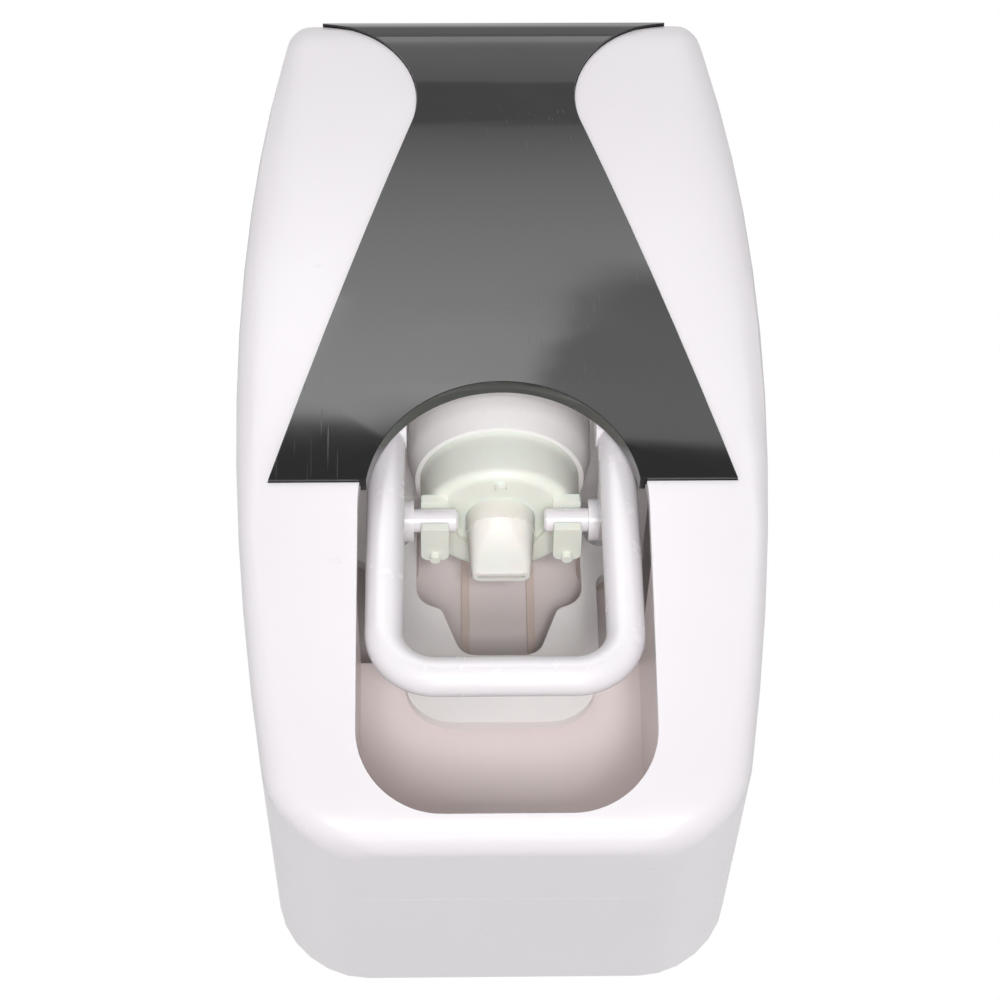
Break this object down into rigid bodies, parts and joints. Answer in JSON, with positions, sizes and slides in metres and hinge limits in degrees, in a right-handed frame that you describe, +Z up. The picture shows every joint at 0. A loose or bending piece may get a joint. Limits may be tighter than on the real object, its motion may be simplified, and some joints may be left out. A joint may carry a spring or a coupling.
{
  "type": "toothpaste dispenser",
  "caption": "Wall-mounted toothpaste dispenser: a push lever in a brush opening works a sprung pump with a duckbill outlet, behind a barrel-shaped casing with a black front panel.",
  "frame": {"origin": "centre of the adhesive wall face, on the wall plane", "axes": "+X to the right as seen from the front, +Y into the wall, +Z up"},
  "size_m": [0.0748, 0.0556, 0.1456],
  "materials": {
    "white_abs": "moulded ABS, satin gloss, white with a faint pink tone",
    "black_gloss": "high gloss black",
    "inner_white": "moulded polypropylene, satin",
    "lever_white": "moulded acetal, satin",
    "pale_green": "translucent pale green",
    "warm_white": "silicone, warm white",
    "silicone": "silicone",
    "rubber": "soft rubber",
    "foam": "adhesive foam",
    "steel": "plated steel",
    "spring_steel": "spring steel"
  },
  "bodies": {
    "casing": {"back_case": "white_abs", "wall_pad": "foam", "brush_well": "white_abs", "pump_bracket": "inner_white", "bracket_screws": "steel", "pump_barrel": "inner_white", "barrel_screws": "steel", "valve_plate": "inner_white", "inlet_valve": "silicone", "tube_socket": "inner_white", "tube_adapter": "rubber", "adapter_ring": "inner_white", "return_spring": "spring_steel", "pivot_pins": "steel", "pin_clips": "spring_steel"},
    "cover": {"front_cover": "white_abs", "face_panel": "black_gloss"},
    "lever": {"push_lever": "lever_white", "lift_pins": "lever_white"},
    "cup": {"pump_cup": "pale_green", "cup_seal": "rubber", "outlet_nozzle": "warm_white", "nozzle_retainer": "inner_white"}
  },
  "joints": [
    {"name": "lever_hinge", "type": "hinge", "parent": "casing", "child": "lever", "pos_m": [0, -0.0465, -0.0065], "axis": [1, 0, 0], "range_deg": [0, 20]},
    {"name": "cup_slide", "type": "slide", "parent": "casing", "child": "cup", "axis": [0, 0.1392, 0.9903], "range_m": [0, 0.00454], "stiffness_N_per_m": 400, "springref_m": -0.003, "deforming": ["return_spring"]},
    {"name": "cover_removal", "type": "slide", "parent": "casing", "child": "cover", "axis": [0, -1, 0], "range_m": [0, 0.04]}
  ],
  "couplings": [
    {"joint": "lever_hinge", "follows": "cup_slide", "rad_per_m": 76.78}
  ]
}
